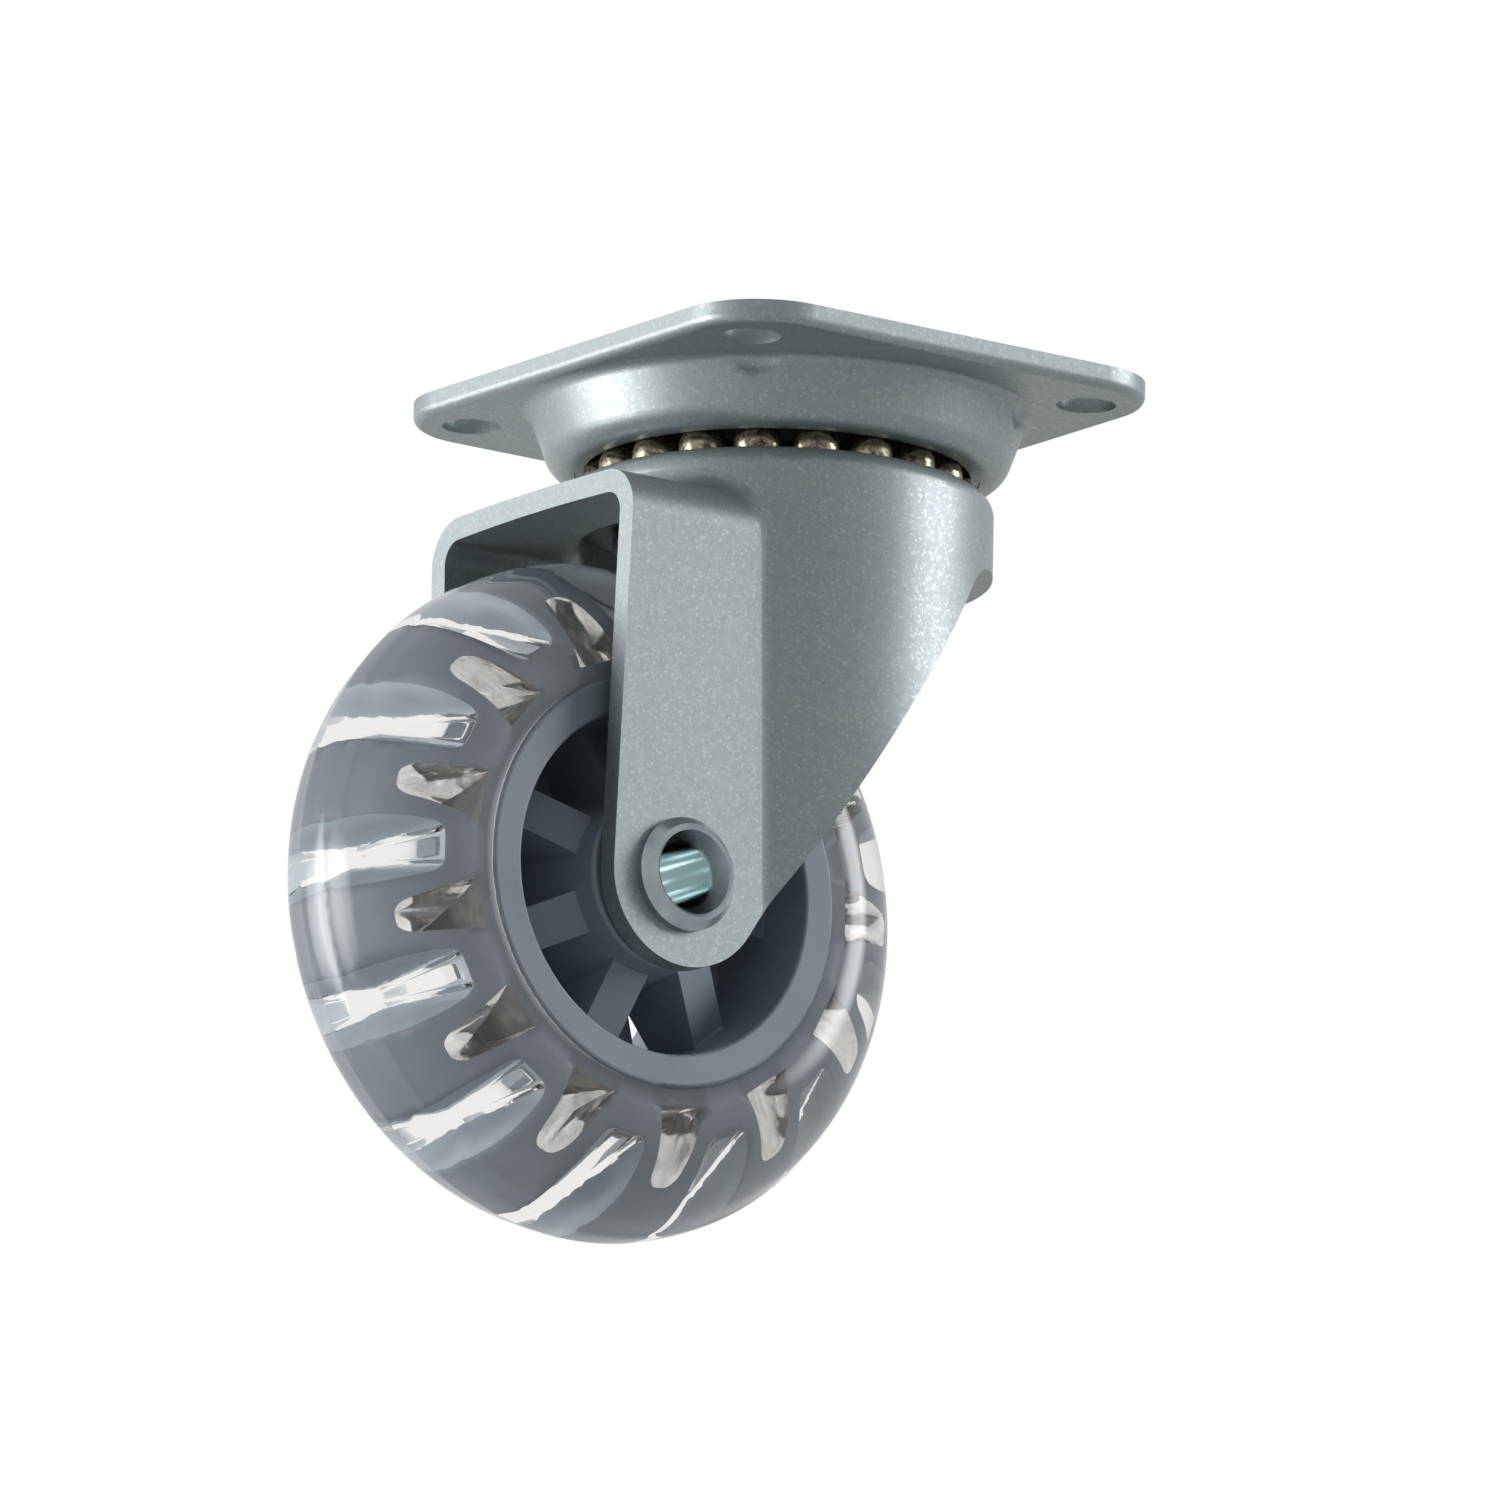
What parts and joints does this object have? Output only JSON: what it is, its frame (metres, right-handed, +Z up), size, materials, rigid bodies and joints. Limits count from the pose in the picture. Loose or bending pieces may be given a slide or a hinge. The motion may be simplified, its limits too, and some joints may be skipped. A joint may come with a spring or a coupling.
{
  "type": "furniture caster",
  "caption": "Swivel plate caster with a pressed steel fork on a double ball race and a clear-tyred wheel with a slotted core.",
  "frame": {"origin": "on the swivel axis, in the mounting face of the top plate", "axes": "+Z up through the plate into the furniture, wheel trails towards -X, axle along Y"},
  "size_m": [0.0917, 0.0678, 0.0991],
  "materials": {
    "silver_powder_coat": "satin silver-grey powder coat with fine metal flake",
    "kingpin_steel": "bright zinc-plated rivet",
    "race_steel": "greased pressed steel",
    "zinc_plated_steel": "blue-white zinc plate, satin",
    "greased_ball_steel": "steel ball under brown grease",
    "grey_nylon": "fine-grained mid-grey moulding",
    "clear_polyurethane": "clear glossy moulding"
  },
  "bodies": {
    "plate": {"top_plate": "silver_powder_coat", "kingpin": "kingpin_steel", "race_washer": "race_steel"},
    "swivel_fork": {"fork": "silver_powder_coat", "axle_rivet": "zinc_plated_steel", "axle_sleeve": "zinc_plated_steel"},
    "wheel": {"wheel_core": "grey_nylon", "tyre": "clear_polyurethane"},
    "upper_ball_set": {"upper_ball_01": "greased_ball_steel", "upper_ball_02": "greased_ball_steel", "upper_ball_03": "greased_ball_steel", "upper_ball_04": "greased_ball_steel", "upper_ball_05": "greased_ball_steel", "upper_ball_06": "greased_ball_steel", "upper_ball_07": "greased_ball_steel", "upper_ball_08": "greased_ball_steel", "upper_ball_09": "greased_ball_steel", "upper_ball_10": "greased_ball_steel", "upper_ball_11": "greased_ball_steel", "upper_ball_12": "greased_ball_steel", "upper_ball_13": "greased_ball_steel", "upper_ball_14": "greased_ball_steel", "upper_ball_15": "greased_ball_steel", "upper_ball_16": "greased_ball_steel", "upper_ball_17": "greased_ball_steel", "upper_ball_18": "greased_ball_steel", "upper_ball_19": "greased_ball_steel"},
    "lower_ball_set": {"lower_ball_01": "greased_ball_steel", "lower_ball_02": "greased_ball_steel", "lower_ball_03": "greased_ball_steel", "lower_ball_04": "greased_ball_steel", "lower_ball_05": "greased_ball_steel", "lower_ball_06": "greased_ball_steel", "lower_ball_07": "greased_ball_steel", "lower_ball_08": "greased_ball_steel", "lower_ball_09": "greased_ball_steel", "lower_ball_10": "greased_ball_steel", "lower_ball_11": "greased_ball_steel", "lower_ball_12": "greased_ball_steel", "lower_ball_13": "greased_ball_steel", "lower_ball_14": "greased_ball_steel", "lower_ball_15": "greased_ball_steel", "lower_ball_16": "greased_ball_steel", "lower_ball_17": "greased_ball_steel"}
  },
  "joints": [
    {"name": "swivel", "type": "hinge", "parent": "plate", "child": "swivel_fork", "pos_m": [0, 0, 0], "axis": [0, 0, 1], "continuous": true},
    {"name": "wheel_spin", "type": "hinge", "parent": "swivel_fork", "child": "wheel", "pos_m": [-0.0243, 0, -0.06165], "axis": [0, 1, 0], "continuous": true},
    {"name": "upper_ball_orbit", "type": "hinge", "parent": "plate", "child": "upper_ball_set", "pos_m": [0, 0, 0], "axis": [0, 0, 1], "continuous": true},
    {"name": "lower_ball_orbit", "type": "hinge", "parent": "plate", "child": "lower_ball_set", "pos_m": [0, 0, 0], "axis": [0, 0, 1], "continuous": true}
  ],
  "couplings": [
    {"joint": "upper_ball_orbit", "follows": "swivel", "ratio": 0.5},
    {"joint": "lower_ball_orbit", "follows": "swivel", "ratio": 0.5}
  ]
}
